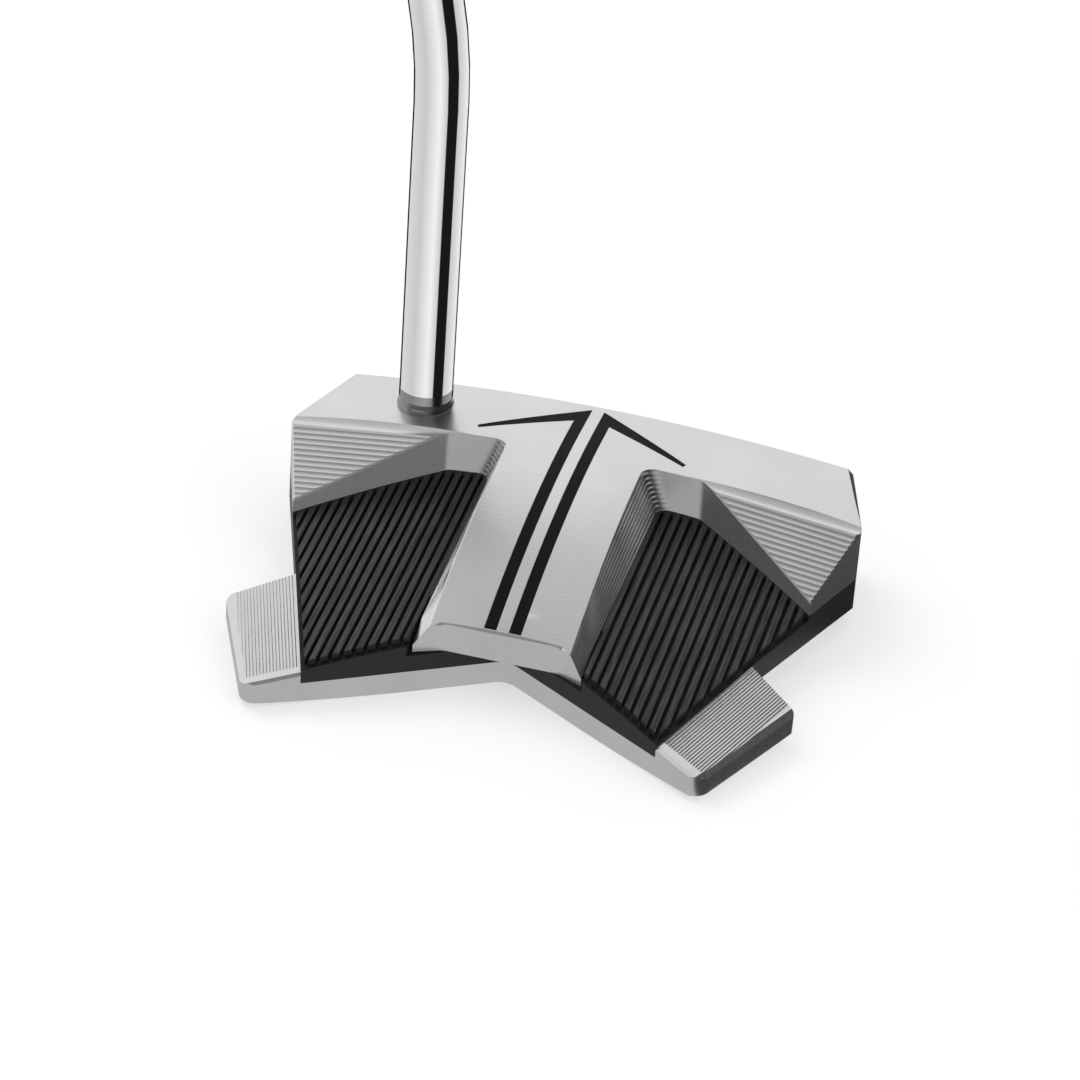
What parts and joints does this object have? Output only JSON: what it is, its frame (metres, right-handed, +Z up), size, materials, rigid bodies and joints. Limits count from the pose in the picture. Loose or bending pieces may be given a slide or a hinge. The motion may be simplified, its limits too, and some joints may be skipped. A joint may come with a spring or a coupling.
{
  "type": "mallet putter",
  "caption": "Mallet golf putter: milled head with a ribbed core, a central bridge carrying a sight line, winged sole frame, bent tubular shaft and flat-front grip.",
  "frame": {"origin": "on the ground under the centre of the face's leading edge", "axes": "+X heel to toe, +Y towards the target (the way the face looks), +Z up from the ground the sole rests on"},
  "size_m": [0.3555, 0.0836, 0.8211],
  "materials": {
    "face_aluminium": "satin, milled",
    "core_black": "black anodised, bead blasted",
    "frame_steel": "satin with milled lines",
    "gasket_rubber": "matte",
    "screw_steel": "satin",
    "weight_steel": "turned",
    "post_steel": "satin",
    "adhesive": "cured epoxy",
    "shaft_chrome": "polished",
    "grip_rubber": "matte, fine texture",
    "tape": "matte",
    "plug_plastic": "matte",
    "line_paint": "matte paint"
  },
  "bodies": {
    "root": {"face_body": "face_aluminium", "core": "core_black", "sole_frame": "frame_steel", "damping_gasket": "gasket_rubber", "front_screws": "screw_steel", "rear_screws": "screw_steel", "plate_screws": "screw_steel", "heel_weight": "weight_steel", "toe_weight": "weight_steel", "hosel_post": "post_steel", "hosel_adhesive": "adhesive", "shaft": "shaft_chrome", "grip": "grip_rubber", "grip_tape": "tape", "grip_plug": "plug_plastic", "sight_line_heel": "line_paint", "sight_line_toe": "line_paint"}
  },
  "joints": []
}
